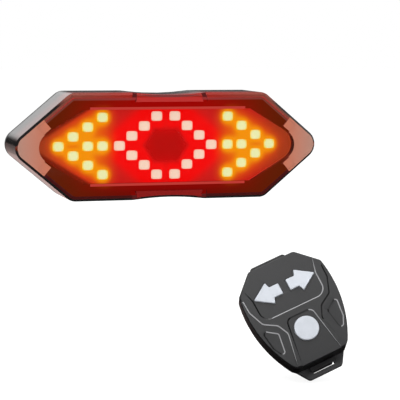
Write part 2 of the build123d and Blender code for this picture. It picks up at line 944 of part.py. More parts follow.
def remote_case():
    """Top shell with a raised forked band between its sunk panels, and an opening for each key."""
    body = plate(remote_outline(0), 0, case_depth)
    body = chamfer(body.faces().sort_by(Axis.Z)[-1].edges(), case_edge)
    body -= plate(remote_outline(case_wall), case_wall, case_depth + overrun)
    body -= plate(panel(both_sides(share_points(pad_shares)), pad_round), -overrun, panel_drop)
    body -= plate(panel(both_sides(share_points(foot_shares)), foot_round), -overrun, panel_drop)
    for side in (1, -1):
        body -= plate(side_panel(side), -overrun, panel_drop)
        body -= plate(facet(side), -overrun, panel_drop + facet_depth)
        body -= plate(arrow_key_face(side, key_gap), -overrun, case_wall + overrun)
    body -= plate(mode_key_face(key_gap), -overrun, case_wall + overrun)
    for boss in remote_bosses(remote_boss_radius):
        body += plate(boss, case_wall, base_top - seat_gap)
    for pilot in remote_bosses(remote_pilot_radius):
        body -= plate(pilot, case_wall + seat_gap, base_top)
    return body


def remote_gasket():
    ring = remote_outline(case_gasket_inset) - remote_outline(case_wall)
    return plate(ring, case_depth, base_top)


def ear_sizes(side):
    """Case edge, then the slot's distance past it, the slot's width and the rim past that."""
    if side > 0:
        return remote_top, top_slot_out, top_slot_width, top_ear_rim
    return remote_bottom, ear_slot_out, ear_slot_width, ear_rim


def strap_inset(side):
    """Distance past the case's edge of the strap's middle line."""
    _, slot_out, slot_width, _ = ear_sizes(side)
    return slot_out - slot_width / 2 + ear_play + bar_strap_thickness / 2


def ear(side):
    """Lug past the case's edge with a slot for the strap."""
    edge, slot_out, slot_width, rim = ear_sizes(side)
    end = edge + slot_out + slot_width / 2 + rim
    corners = [
        (-ear_root_half, side * (edge - ear_root_inset)),
        (-ear_end_half, side * end),
        (ear_end_half, side * end),
        (ear_root_half, side * (edge - ear_root_inset)),
    ]
    face = make_face(Polyline(*corners, close=True))
    ends = [vertex for vertex in face.vertices() if abs(vertex.Y) > edge]
    face = fillet(ends, ear_round)
    return face - Pos(0, side * (edge + slot_out)) * Rectangle(ear_slot_length, slot_width)


def remote_base():
    """Bottom plate with the two ears and the saddle over the handlebar."""
    face = remote_outline(case_gasket_inset) + ear(1) + ear(-1)
    body = plate(face, base_top, base_back)
    saddle_end = base_back + bar_saddle_depth
    along = (-bar_saddle_length / 2, bar_saddle_length / 2)
    heights = (-bar_drop - bar_saddle_half_width, -bar_drop + bar_saddle_half_width)
    body += block(along, heights, (base_back, saddle_end))
    bar_hole = Circle(bar_radius + bar_pad_thickness + seat_gap)
    body -= side_on(Pos(-bar_drop, -bar_depth) * bar_hole, bar_saddle_length + overrun)
    for hole in remote_bosses(remote_pilot_radius):
        body -= plate(hole, base_top - overrun, base_back + overrun)
    for sink in remote_bosses(remote_screw_head_radius + running_gap):
        body -= plate(sink, base_back - remote_screw_head - seat_gap, base_back + overrun)
    return body


def side_on(face, length):
    """Prism along the bar of a face drawn from the side, up as x and -depth as y."""
    return extrude(Plane.YZ * face, amount=length / 2, both=True)


def remote_screws():
    head_back = base_back - seat_gap
    head_sizes = (remote_screw_head_radius, head_back, remote_screw_head)
    screws = []
    for place in remote_bosses(remote_screw_radius):
        middle = place.center()
        screws.append(pan_screw(middle.X, middle.Y, remote_screw_radius, *head_sizes, remote_screw_length))
    return screws


def remote_board():
    face = remote_outline(remote_board_inset)
    for boss in remote_bosses(remote_boss_radius + key_gap):
        face -= boss
    return plate(face, key_board_front, key_board_back)


def switch_places():
    return [(arrow_switch_across, 0), (-arrow_switch_across, 0), (0, -mode_key_drop)]


def remote_switches():
    dome_front = key_board_front - key_switch_body - key_switch_dome
    base_front = dome_front + key_switch_dome
    switches = []
    for x, y in switch_places():
        base = plate(Pos(x, y) * Rectangle(key_switch_side, key_switch_side), base_front, key_board_front)
        switches.append(base + rod(x, y, key_switch_dome_radius, dome_front, base_front))
    return switches


def remote_key(face_of, x, y):
    """Key cap, its flange under the shell and the stem over its switch."""
    body = plate(face_of(0), -key_proud, case_wall + seat_gap)
    body = chamfer(body.faces().sort_by(Axis.Z)[-1].edges(), key_edge)
    flange_back_depth = case_wall + seat_gap + key_flange
    body += plate(face_of(key_flange_width), case_wall + seat_gap, flange_back_depth)
    return body + rod(x, y, key_stem_radius, flange_back_depth, flange_back_depth + key_stem)


def left_key():
    return remote_key(lambda margin: arrow_key_face(-1, margin), -arrow_switch_across, 0)


def right_key():
    return remote_key(lambda margin: arrow_key_face(1, margin), arrow_switch_across, 0)


def mode_key():
    return remote_key(mode_key_face, 0, -mode_key_drop)


def coin_cell():
    body = rod(0, -cell_drop, cell_radius, key_board_back, key_board_back + cell_thickness)
    return chamfer(body.faces().sort_by(Axis.Z)[0].edges(), cell_edge)


def cell_clip():
    """Sprung metal strip over the cell, with a foot on the board at each end."""
    heights = (-cell_drop - clip_width / 2, -cell_drop + clip_width / 2)
    strip_front = key_board_back + cell_thickness
    strip_back = strip_front + clip_thickness
    reach = cell_radius + running_gap + clip_thickness
    body = block((-reach, reach), heights, (strip_front, strip_back))
    for side in (1, -1):
        body += block((side * (reach - clip_thickness), side * reach), heights, (key_board_back, strip_back))
        foot = (side * (reach - clip_thickness), side * (reach + clip_foot))
        body += block(foot, heights, (key_board_back, key_board_back + clip_thickness))
    return body


def handlebar_pad():
    low = 90 - bar_pad_half_angle
    face = ring_slice(bar_radius, bar_radius + bar_pad_thickness, low, 180 - low)
    return side_on(Pos(-bar_drop, -bar_depth) * face, bar_saddle_length)


def strap_route():
    """Middle line of the handlebar strap, seen from the side."""
    middle_radius = bar_radius + bar_strap_thickness / 2
    ends = [(-remote_bottom - strap_inset(-1), -1), (remote_top + strap_inset(1), 1)]
    sides = []
    angles = []
    for up, side in ends:
        knee = (up, -base_back - bar_strap_knee)
        rise = (knee[0] + bar_drop, knee[1] + bar_depth)
        turn = math.degrees(math.acos(middle_radius / math.hypot(*rise)))
        angle = math.degrees(math.atan2(rise[1], rise[0])) - side * turn
        leave = (middle_radius * cosine(angle) - bar_drop, middle_radius * sine(angle) - bar_depth)
        sides.append(FilletPolyline((up, -base_top), knee, leave, radius=bar_strap_bend))
        angles.append(angle)
    wrap = CenterArc((-bar_drop, -bar_depth), middle_radius, angles[0], angles[1] + 360 - angles[0])
    return Curve() + sides + [wrap]


def handlebar_strap():
    """Flat rubber band under the bar, with a cross head above each ear's slot."""
    band = trace(strap_route(), bar_strap_thickness)
    body = side_on(band, bar_strap_width)
    head_back = base_top - seat_gap
    head_front = head_back - bar_strap_head_height
    along = (-bar_strap_head_length / 2, bar_strap_head_length / 2)
    for side in (1, -1):
        middle = ear_sizes(side)[0] + strap_inset(side)
        near = middle - bar_strap_thickness / 2 - 2 * ear_play - seat_gap
        heights = (side * near, side * (near + bar_strap_head_width))
        body += block(along, heights, (head_front, head_back))
        neck = (side * (middle - bar_strap_thickness / 2), side * (middle + bar_strap_thickness / 2))
        body += block((-bar_strap_width / 2, bar_strap_width / 2), neck, (head_back, base_top + seat_gap))
    return body


def save(place, name, shape):
    """Write one node, whose shape is one solid or a list of like ones."""
    if isinstance(shape, list):
        solids = [solid for piece in shape for solid in (place * piece).solids()]
        node = Compound(children=solids)
    else:
        node = place * shape
    export_step(node, os.path.join("parts", name + ".step"))


light_pieces = {
    "front_housing": front_housing,
    "rear_cover": rear_cover,
    "cover_seal": cover_seal,
    "case_screws": case_screws,
    "lens": lens,
    "led_baffle": led_baffle,
    "centre_reflector": centre_reflector,
    "brake_leds": brake_leds,
    "left_turn_leds": left_turn_leds,
    "right_turn_leds": right_turn_leds,
    "light_board": light_board,
    "radio_module": radio_module,
    "battery": battery,
    "battery_tray": battery_tray,
    "battery_pad": battery_pad,
    "battery_leads": battery_leads,
    "battery_plug": battery_plug,
    "charging_port": charging_port,
    "port_plug": port_plug,
    "power_button": power_button,
    "power_switch": power_switch,
}
bracket_pieces = {
    "mount_bracket": mount_bracket,
    "bracket_pad": bracket_pad,
    "seatpost_strap": seatpost_strap,
}
remote_pieces = {
    "remote_case": remote_case,
    "remote_gasket": remote_gasket,
    "remote_base": remote_base,
    "remote_screws": remote_screws,
    "remote_board": remote_board,
    "remote_switches": remote_switches,
    "coin_cell": coin_cell,
    "cell_clip": cell_clip,
    "left_key": left_key,
    "right_key": right_key,
    "mode_key": mode_key,
    "handlebar_pad": handlebar_pad,
    "handlebar_strap": handlebar_strap,
}

os.makedirs("parts", exist_ok=True)
groups = ((light_place, light_pieces), (Location(), bracket_pieces), (remote_place, remote_pieces))
for place, pieces in groups:
    for name, make_piece in pieces.items():
        save(place, name, make_piece())
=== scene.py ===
import bmesh
import bpy
import math
from mathutils import Matrix, Vector


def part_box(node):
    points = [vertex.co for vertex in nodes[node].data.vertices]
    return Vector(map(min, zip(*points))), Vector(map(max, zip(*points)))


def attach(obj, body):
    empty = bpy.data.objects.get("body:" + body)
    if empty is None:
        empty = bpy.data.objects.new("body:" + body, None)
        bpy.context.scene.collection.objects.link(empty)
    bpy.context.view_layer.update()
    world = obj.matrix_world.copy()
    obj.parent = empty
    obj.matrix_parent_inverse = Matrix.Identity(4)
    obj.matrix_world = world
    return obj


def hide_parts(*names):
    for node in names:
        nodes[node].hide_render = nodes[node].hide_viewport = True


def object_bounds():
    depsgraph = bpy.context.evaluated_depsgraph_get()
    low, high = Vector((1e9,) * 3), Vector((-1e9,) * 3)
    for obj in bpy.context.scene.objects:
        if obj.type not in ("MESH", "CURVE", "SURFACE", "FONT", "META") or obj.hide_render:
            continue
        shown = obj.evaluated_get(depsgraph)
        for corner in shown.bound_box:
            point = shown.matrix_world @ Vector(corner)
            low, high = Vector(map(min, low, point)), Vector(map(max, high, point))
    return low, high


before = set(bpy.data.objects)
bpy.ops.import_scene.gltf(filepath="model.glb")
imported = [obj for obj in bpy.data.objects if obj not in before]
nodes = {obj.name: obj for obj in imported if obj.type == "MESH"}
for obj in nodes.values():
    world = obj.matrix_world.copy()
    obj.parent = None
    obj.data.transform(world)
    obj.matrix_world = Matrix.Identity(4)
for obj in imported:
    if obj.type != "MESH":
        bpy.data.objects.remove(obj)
cad_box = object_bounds()


# Studio. The tail light hangs at its seatpost's height and the remote lies lower and behind.
# A pale floor, soft boxes and a long lens from the left of the light's front.

class Wire:
    """A socket's value in a finish. Sums, products and powers of it add their own Math nodes."""

    def __init__(self, tree, socket=None):
        self.tree = tree
        self.socket = socket

    def node(self, kind, settings=(), inputs=(), output=0):
        made = self.tree.nodes.new(kind)
        for key, value in dict(settings).items():
            setattr(made, key, value)
        for key, value in dict(inputs).items():
            if isinstance(value, Wire):
                self.tree.links.new(value.socket, made.inputs[key])
            else:
                made.inputs[key].default_value = value
        return Wire(self.tree, made.outputs[output])

    def math(self, operation, first, second=0.0):
        return self.node("ShaderNodeMath", {"operation": operation}, {0: first, 1: second})

    def __add__(self, other):
        return self.math("ADD", self, other)

    def __sub__(self, other):
        return self.math("SUBTRACT", self, other)

    def __mul__(self, other):
        return self.math("MULTIPLY", self, other)

    def __truediv__(self, other):
        return self.math("DIVIDE", self, other)

    def __pow__(self, other):
        return self.math("POWER", self, other)

    def __rsub__(self, other):
        return self.math("SUBTRACT", other, self)

    def __rtruediv__(self, other):
        return self.math("DIVIDE", other, self)

    __radd__ = __add__
    __rmul__ = __mul__

    def lower(self, other):
        return self.math("MINIMUM", self, other)

    def higher(self, other):
        return self.math("MAXIMUM", self, other)

    def size(self):
        return self.math("ABSOLUTE", self)

    def rise(self, start, end):
        """0 up to start and 1 from end on, with a smooth step between."""
        spans = {"Value": self, "From Min": start, "From Max": end}
        return self.node("ShaderNodeMapRange", {"interpolation_type": "SMOOTHSTEP"}, spans)

    def fall(self, start, end):
        """1 up to start and 0 from end on, with a smooth step between."""
        return self.rise(end, start)

    def between(self, first, second):
        """The number first where this is 0, and second where it is 1."""
        return self * (second - first) + first

    def tint(self, first, second):
        """The colour first where this is 0, and second where it is 1."""
        # A mix has its colours at inputs 6 and 7, and the mixed colour at output 2.
        colours = {0: self}
        for slot, colour in ((6, first), (7, second)):
            colours[slot] = colour if isinstance(colour, Wire) else (*colour, 1)
        return self.node("ShaderNodeMix", {"data_type": "RGBA"}, colours, 2)


def parts_of(wire, vector):
    """The three parts of a vector."""
    return [wire.node("ShaderNodeSeparateXYZ", (), {0: vector}, output) for output in range(3)]


def finish(name, colour, roughness, **fixed):
    """New material with its fixed values. Returns it, its shader's inputs and a loose wire."""
    material = bpy.data.materials.new(name)
    material.use_nodes = True
    inputs = material.node_tree.nodes["Principled BSDF"].inputs
    inputs["Base Color"].default_value = (*colour, 1)
    inputs["Roughness"].default_value = roughness
    for key, value in fixed.items():
        inputs[key.replace("_", " ")].default_value = value
    return material, inputs, Wire(material.node_tree)


def lay(inputs, **values):
    """Feeds the shader's inputs from wires."""
    for key, value in values.items():
        value.tree.links.new(value.socket, inputs[key.replace("_", " ")])


def looking(direction):
    """Turn of a camera or a lamp that looks in a direction with its top up."""
    return direction.to_track_quat("-Z", "Y").to_matrix().to_4x4()


scene = bpy.context.scene
scene.view_settings.view_transform = "Standard"

camera_place = Vector((-0.1637, -0.6268, 0.0452))
camera_forward = Vector((0.2906, 0.9506, -0.1095))
camera_roll = 0.007
camera_lens = 140.3
camera_sensor = 36
camera_data = bpy.data.cameras.new("camera")
camera_data.lens = camera_lens
camera_data.sensor_width = camera_sensor
camera = bpy.data.objects.new("camera", camera_data)
camera_turn = looking(camera_forward) @ Matrix.Rotation(camera_roll, 4, "Z")
camera.matrix_world = Matrix.Translation(camera_place) @ camera_turn
scene.collection.objects.link(camera)
scene.camera = camera

stage_middle = Vector((0.06, 0.05, -0.05))


def soft_box(name, place, size, watts):
    """Rectangular lamp that is aimed at the middle of the stage."""
    lamp = bpy.data.lights.new(name, "AREA")
    lamp.shape = "RECTANGLE"
    lamp.size, lamp.size_y = size
    lamp.energy = watts
    box = bpy.data.objects.new(name, lamp)
    box.matrix_world = Matrix.Translation(Vector(place)) @ looking(stage_middle - Vector(place))
    scene.collection.objects.link(box)


soft_box("key_box", place=(-0.65, -0.75, 0.85), size=(0.55, 0.55), watts=12)
soft_box("fill_box", place=(0.95, -0.6, 0.25), size=(0.5, 0.7), watts=4)
soft_box("top_box", place=(0.05, 0.35, 1.0), size=(0.8, 0.4), watts=9)

# The room is white to the camera and sheds an even light. Mirrors see it bright only at its
# far end above the horizon, and at its ceiling.
room_light = 0.5
darkest_mirror = 0.02
far_end = (-0.15, 0.1)
ceiling = (0.88, 0.96)
horizon = (0.1, 0.2)
room = bpy.data.worlds.new("room")
room.use_nodes = True
scene.world = room
wire = Wire(room.node_tree)
x, y, z = parts_of(wire, wire.node("ShaderNodeTexCoord", output="Generated"))
mirrored_end = y.rise(*far_end).higher(z.rise(*ceiling)) * z.rise(*horizon)
mirror_ray = wire.node("ShaderNodeLightPath", output="Is Glossy Ray")
camera_ray = wire.node("ShaderNodeLightPath", output="Is Camera Ray")
shed = room_light * (1.0 - mirror_ray) * (1.0 - camera_ray)
room_level = shed + mirror_ray * mirrored_end.between(darkest_mirror, 1.0) + camera_ray
background = room.node_tree.nodes["Background"].inputs
background["Color"].default_value = (1, 1, 1, 1)
room.node_tree.links.new(room_level.socket, background["Strength"])

# The floor glows white where the camera sees it, and mirrors see it dark in front.
floor_gap = 0.001
floor_half = 6.0
floor_front = -0.35
floor_back = 6.0
back_from = (0.1, 0.5)
floor_white = (0.9, 0.9, 0.9)
mirrored_front = (0.02, 0.015, 0.015)
mirrored_back = (0.48, 0.36, 0.34)
floor_roughness = 0.9
floor_glow = 1.34
glow_share = 0.65
floor_mesh = bpy.data.meshes.new("floor")
floor_height = cad_box[0][2] - floor_gap
corners = [
    (-floor_half, floor_front, floor_height),
    (floor_half, floor_front, floor_height),
    (floor_half, floor_back, floor_height),
    (-floor_half, floor_back, floor_height),
]
floor_mesh.from_pydata(corners, [], [(0, 1, 2, 3)])
floor = bpy.data.objects.new("floor", floor_mesh)
scene.collection.objects.link(floor)
floor_paint, floor_in, wire = finish("floor_paint", floor_white, floor_roughness, Specular_IOR_Level=0.0)
camera_ray = wire.node("ShaderNodeLightPath", output="Is Camera Ray")
mirror_ray = wire.node("ShaderNodeLightPath", output="Is Glossy Ray")
behind = parts_of(wire, wire.node("ShaderNodeTexCoord", output="Object"))[1].rise(*back_from)
lay(floor_in, Base_Color=mirror_ray.tint(floor_white, behind.tint(mirrored_front, mirrored_back)))
glow = wire.node("ShaderNodeEmission", (), {"Strength": floor_glow})
painted = Wire(wire.tree, wire.tree.nodes["Principled BSDF"].outputs[0])
floor_mix = wire.node("ShaderNodeMixShader", (), {0: camera_ray * glow_share, 1: painted, 2: glow})
wire.tree.links.new(floor_mix.socket, wire.tree.nodes["Material Output"].inputs["Surface"])
floor_mesh.materials.append(floor_paint)


# Front housing: one deep moulding in glossy black polycarbonate, with a sloped frame round
# the window and flat lands at its tips and long edges. The red of the lit window on the frame
# is painted glow as emission, and painted reflection in the colour of its lands.

def millimetres(wire):
    """Object coordinates of the shared frame, in millimetres."""
    place = wire.node("ShaderNodeTexCoord", output="Object")
    return wire.node("ShaderNodeVectorMath", {"operation": "SCALE"}, {0: place, "Scale": 1000.0})


def grain(wire, place, scale, detail=3.0):
    """Noise about half, with a grain of 1 / scale millimetres."""
    return wire.node("ShaderNodeTexNoise", (), {"Vector": place, "Scale": scale, "Detail": detail})


def relief(wire, height, strength, depth):
    """Bump of a height, whose full swing is depth metres."""
    return wire.node("ShaderNodeBump", (), {"Strength": strength, "Distance": depth, "Height": height})


def wear(node, material):
    nodes[node].data.materials.clear()
    nodes[node].data.materials.append(material)


def mirrored(wire, place):
    """Place folded into the quarter where x and z are above zero, with its depth left out."""
    folded = wire.node("ShaderNodeVectorMath", {"operation": "ABSOLUTE"}, {0: place})
    return wire.node("ShaderNodeVectorMath", {"operation": "MULTIPLY"}, {0: folded, 1: (1, 0, 1)})


def away_from(wire, folded, light):
    """Distance to a light, which is given by its place across and up."""
    ends = {0: folded, 1: (light[0], 0, light[1])}
    return wire.node("ShaderNodeVectorMath", {"operation": "DISTANCE"}, ends, "Value")


def glow_of(wire, folded, lights, reach):
    """Sum of round glows that fall off from each light, each halved at its reach."""
    total = 0.0
    for light in lights:
        total = total + 1.0 / (1.0 + (away_from(wire, folded, light) / reach) ** 4.0)
    return total


def light_row(tip, step, count):
    """Places of lights across and up, from a tip back along a diagonal."""
    return [(tip - step[0] * row, step[1] * row) for row in range(count)]


# Sizes are in millimetres from the light's middle, insets inwards from its outline and depths
# back from its front. A pair is where a soft edge starts and ends.
light_front = 1000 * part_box("front_housing")[0].y
light_tip = 63.2
light_half_height = 20.6
light_slope_angle = math.radians(40)
steep = math.sin(light_slope_angle)
flat = math.cos(light_slope_angle)
arrow_tip = 42.45
arrow_step = (5.75, 3.67)
arrow_shaft = [(arrow_tip - arrow_step[0] * row, 0) for row in (2, 3)]
arrow_lights = light_row(arrow_tip, arrow_step, 4) + arrow_shaft
front_normal = (-0.6, -0.45)
middle_height = (-0.5, 0.5)
shade_height = (-12.0, 12.0)
tip_way = (6.0, 50.0)
wall_inset = (0.4, 0.6)
chamfer_inset = (0.86, 0.94)
chamfer_depth = (0.85, 0.95)
chamfer_height = (15.0, 19.0)
rim_inset = (1.74, 1.86)
strip_inset = (2.8, 2.9)
land_depth = (0.06, 0.12)
frame_depth = (2.2, 2.4)
tab_across = (12.5, 14.5)
chevron_arm = 17.6
chevron_blend = 0.1
chevron_across = (40.0, 41.0)
chevron_start = 43.0
chevron_width = 16.5
window_height = (15.2, 15.3)
window_across = (31.4, 31.6)
ledge_height = (13.9, 14.1)
ledge_front = (1.2, 1.4)
ledge_back = (1.6, 1.7)
notch_height = (17.6, 17.8)
notch_inner = (11.2, 11.4)
notch_outer = (15.0, 15.2)
notch_front = (0.2, 0.3)
notch_back = (1.4, 1.5)
notch_inset = (0.35, 0.5)
scoop_height = (15.0, 16.0)
scoop_across = (13.5, 15.5)
scoop_surround = (4.0, 28.0)
top_height = (17.5, 18.5)
top_reach = (1.0, 15.0)
tip_across = (36.0, 42.0)
tip_height = (2.0, 6.0)
tip_reach = (1.0, 18.0)
edge_depth = (0.2, 2.0)
edge_share = 0.4
spill_reach = 5.0
spill_level = (0.3, 1.6)
spill_depth = (0.8, 2.0)
spill_share = 0.7
coat_low = 0.8
coat_high = 0.5
scoop_loss = 0.7

# Colours of the plastic, then painted light on its lands: painted red glow, brighter above.
gloss_black = (0.010, 0.009, 0.009)
slope_black = (0.010, 0.0015, 0.001)
rim_painted_red = (0.28, 0.008, 0.004)
rim_painted_brown = (0.17, 0.048, 0.032)
upper_tab_painted_glow = (0.40, 0.022, 0.020)
lower_tab_painted_glow = (0.20, 0.006, 0.005)
lower_land_painted_glow = (0.050, 0.003, 0.003)
chevron_painted_amber = (0.50, 0.12, 0.055)
chevron_painted_grey = (0.36, 0.20, 0.155)

# Painted glow, highlight and reflection of the lights, as emission on the black plastic.
unlit = (0.0, 0.0, 0.0)
lower_slope = (0.15, 0.0, 0.0)
upper_slope = (0.30, 0.0, 0.0)
tip_slope = (0.100, 0.0105, 0.0003)
edge_red = (0.36, 0.001, 0.0)
spilt_amber = (0.45, 0.07, 0.0)
strip_red = (0.30, 0.030, 0.030)
strip_brown = (0.16, 0.040, 0.028)
top_glow = (0.27, 0.035, 0.033)
tip_glow = (0.115, 0.009, 0.003)
scoop_red = (0.17, 0.008, 0.008)
notch_red = (0.09, 0.006, 0.006)
ledge_red = (0.50, 0.042, 0.034)

housing_gloss, gloss_in, wire = finish(
    "housing_gloss", gloss_black, roughness=0.16,
    IOR=1.6, Specular_IOR_Level=0.12, Coat_IOR=1.6, Coat_Roughness=0.14, Emission_Strength=1.0,
)
place = millimetres(wire)
x, y, z = parts_of(wire, place)
across = x.size()
height = z.size()
depth = y - light_front
inset = (light_half_height - height).lower((light_tip - across) * steep - height * flat)
faces_front = parts_of(wire, wire.node("ShaderNodeNewGeometry", output="Normal"))[1].fall(*front_normal)
faces_side = 1.0 - faces_front
past_rim = inset.rise(*rim_inset)
past_chamfer = inset.rise(*chamfer_inset)
upper_half = z.rise(*middle_height)
upper = z.rise(*shade_height)
to_tip = across.rise(*tip_way)
in_frame = past_rim * faces_front * depth.fall(*frame_depth)
flat_land = depth.fall(*land_depth) * faces_front * past_chamfer
upper_chamfer = (1.0 - past_chamfer) * z.rise(*chamfer_height) * depth.fall(*chamfer_depth)
on_land = flat_land.higher(upper_chamfer)
off_land = 1.0 - on_land

# Painted glow on the frame's slopes: red, brighter above, brown at the tips, amber by the arrows.
slope_glow = to_tip.tint(upper.tint(lower_slope, upper_slope), tip_slope)
slope_glow = (depth.rise(*edge_depth) * edge_share * (1.0 - to_tip)).tint(slope_glow, edge_red)
spill = glow_of(wire, mirrored(wire, place), arrow_lights, spill_reach).rise(*spill_level)
slope_glow = (spill * depth.rise(*spill_depth) * spill_share).tint(slope_glow, spilt_amber)
inner_strip = upper_half * in_frame * inset.fall(*strip_inset) * (1.0 - flat_land)
slope_glow = inner_strip.tint(slope_glow, to_tip.tint(strip_red, strip_brown))

# Painted light: the rim and tabs take painted red glow, brighter on the upper half.
tab_painted_light = upper.tint(across.rise(*tab_across).tint(lower_tab_painted_glow, lower_land_painted_glow), upper_tab_painted_glow)
land_painted_light = ((1.0 - past_rim) * upper_half).tint(tab_painted_light, to_tip.tint(rim_painted_red, rim_painted_brown))
arm = (light_tip - across) * flat + height * steep
on_chevron = arm.fall(chevron_arm, chevron_arm + chevron_blend) * across.rise(*chevron_across)
# Painted reflection and glow: the chevrons are painted amber inwards and pale grey outwards.
chevron_painted_light = ((across - chevron_start) / chevron_width).tint(chevron_painted_amber, chevron_painted_grey)
land_painted_light = on_chevron.tint(land_painted_light, chevron_painted_light)

in_window = height.fall(*window_height) * across.fall(*window_across)
ledge = height.rise(*ledge_height) * depth.rise(*ledge_front) * depth.fall(*ledge_back)
on_ledge = ledge * faces_front * in_window

on_top_wall = z.rise(*top_height) * faces_side * depth.fall(*top_reach)
on_tip_wall = faces_side * across.rise(*tip_across) * height.rise(*tip_height) * depth.fall(*tip_reach)
by_scoop = z.rise(*scoop_height)
scoop_face = by_scoop * across.fall(*scoop_across) * faces_front * (1.0 - in_frame) * off_land
notch = height.rise(*notch_height) * across.rise(*notch_inner) * across.fall(*notch_outer)
in_notch = notch * depth.rise(*notch_front) * depth.fall(*notch_back) * inset.rise(*notch_inset) * off_land
# Painted glow and reflection of the red light on the top and tip walls, scoop and notches.
wall_glow = on_top_wall.tint(unlit, top_glow)
wall_glow = on_tip_wall.tint(wall_glow, tip_glow)
wall_glow = scoop_face.tint(wall_glow, scoop_red)
wall_glow = in_notch.tint(wall_glow, notch_red)
outer_wall = faces_side * inset.fall(*wall_inset) * upper.between(coat_low, coat_high)
lay(
    gloss_in,
    Base_Color=on_land.tint(in_frame.tint(gloss_black, slope_black), land_painted_light),
    Roughness=grain(wire, place, scale=0.35).between(0.12, 0.20) + on_land * 0.2,
    Coat_Weight=outer_wall * (1.0 - by_scoop * across.fall(*scoop_surround) * scoop_loss),
    Emission_Color=on_ledge.tint((in_frame * off_land).tint(wall_glow, slope_glow), ledge_red),
    Normal=relief(wire, grain(wire, place, scale=6.0), strength=0.04, depth=0.0001),
)
wear("front_housing", housing_gloss)


# Chevron ends: the lands at the light's tips, painted pale with painted reflection and amber
# glow, run on along its diagonal edges. Each of the four ends is a low bar of the housing's own
# plastic, moulded in one with it.

arm_start = 14.1
arm_outer = 1.7
arm_inner = 5.2
arm_depth = 1.7
bar_corners = (
    (arm_start, arm_outer),
    (chevron_arm, arm_outer),
    (chevron_arm, arm_inner),
    (arm_start, arm_inner),
)
end_bars = bmesh.new()
for side in (-1, 1):
    for half in (-1, 1):
        rings = []
        for back in (light_front, light_front + arm_depth):
            ring = []
            for along, inward in bar_corners:
                bar_x = side * (light_tip - inward * steep - along * flat)
                bar_z = half * (along * steep - inward * flat)
                ring.append(end_bars.verts.new(Vector((bar_x, back, bar_z)) / 1000))
            rings.append(ring)
            end_bars.faces.new(ring)
        near, far = rings
        for corner in range(4):
            after = (corner + 1) % 4
            end_bars.faces.new([near[corner], near[after], far[after], far[corner]])
bmesh.ops.recalc_face_normals(end_bars, faces=end_bars.faces)
ends_mesh = bpy.data.meshes.new("chevron_ends")
end_bars.to_mesh(ends_mesh)
end_bars.free()
ends_mesh.materials.append(housing_gloss)
chevron_ends = bpy.data.objects.new("chevron_ends", ends_mesh)
scene.collection.objects.link(chevron_ends)
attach(chevron_ends, "light")


# Rear cover: the shallow back half, moulded in black plastic with a fine spark-eroded grain,
# with the slot block for the rail. Two screws at the tips hold it on a gasket.

weld_distance = 1e-6
flat_within = math.radians(2)
sharp_from = math.radians(25)
rounding_steps = 2
flat_weight = 100


def soft_edged(name, node, width, body, material, shape=None, more_materials=()):
    """Copy of a moulded node with its sharp edges rounded, which stands for the node."""
    mesh = nodes[node].data.copy()
    mesh.name = name
    mesh.materials.clear()
    for coat in (material, *more_materials):
        mesh.materials.append(coat)
    work = bmesh.new()
    work.from_mesh(mesh)
    bmesh.ops.remove_doubles(work, verts=work.verts, dist=weld_distance)
    bmesh.ops.dissolve_limit(work, angle_limit=flat_within, verts=work.verts, edges=work.edges)
    if shape:
        shape(work)
    work.to_mesh(mesh)
    work.free()
    made = bpy.data.objects.new(name, mesh)
    scene.collection.objects.link(made)
    rounding = made.modifiers.new("rounding", "BEVEL")
    rounding.width = width
    rounding.segments = rounding_steps
    rounding.limit_method = "ANGLE"
    rounding.angle_limit = sharp_from
    rounding.use_clamp_overlap = True
    for face in mesh.polygons:
        face.use_smooth = True
    made.modifiers.new("flat_faces", "WEIGHTED_NORMAL").weight = flat_weight
    bpy.context.view_layer.update()
    final = bpy.data.meshes.new_from_object(made.evaluated_get(bpy.context.evaluated_depsgraph_get()))
    made.modifiers.clear()
    made.data = final
    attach(made, body)
    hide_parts(node)


cover_dark = (0.016, 0.016, 0.017)
cover_pale = (0.030, 0.030, 0.031)
cover_rounding = 0.00025
cover_black, cover_in, wire = finish("cover_black", cover_dark, roughness=0.5)
place = millimetres(wire)
cover_grain = grain(wire, place, scale=5.0)
lay(
    cover_in,
    Base_Color=cover_grain.tint(cover_dark, cover_pale),
    Roughness=cover_grain.between(0.42, 0.62),
    Normal=relief(wire, cover_grain, strength=0.5, depth=0.00006),
)
soft_edged("cover_body", "rear_cover", cover_rounding, "light", cover_black)


# Seals: thin gaskets of soft black silicone, moulded flat, which are pressed between the
# halves of both housings.

seal_black = (0.02, 0.02, 0.02)
seal_rubber, seal_in, wire = finish("seal_rubber", seal_black, roughness=0.6)
place = millimetres(wire)
seal_grain = grain(wire, place, scale=3.0)
lay(
    seal_in,
    Roughness=seal_grain.between(0.5, 0.75),
    Normal=relief(wire, seal_grain, strength=0.3, depth=0.00005),
)
wear("cover_seal", seal_rubber)
wear("remote_gasket", seal_rubber)


# Screws: plated steel with turned pan heads. Two hold the light's cover to its housing, and
# four the remote's base to its shell.

plated_steel = (0.42, 0.42, 0.43)
screw_steel, screw_in, wire = finish("screw_steel", plated_steel, roughness=0.3, Metallic=1.0)
place = millimetres(wire)
screw_grain = grain(wire, place, scale=8.0)
lay(
    screw_in,
    Roughness=screw_grain.between(0.24, 0.42),
    Normal=relief(wire, screw_grain, strength=0.25, depth=0.00003),
)
wear("case_screws", screw_steel)
wear("remote_screws", screw_steel)


# Window lens: clear red acrylic, moulded and polished. Its flange lies behind the frame, and
# its face fills the window.

clear_red = (0.35, 0.004, 0.003)
lens_density = 0.12
lens_red, lens_in, wire = finish("lens_red", clear_red, roughness=0.06, Alpha=lens_density)
place = millimetres(wire)
lens_wave = grain(wire, place, scale=0.06, detail=1.0)
lay(
    lens_in,
    Roughness=lens_wave.between(0.04, 0.09),
    Normal=relief(wire, lens_wave, strength=0.15, depth=0.0004),
)
wear("lens", lens_red)


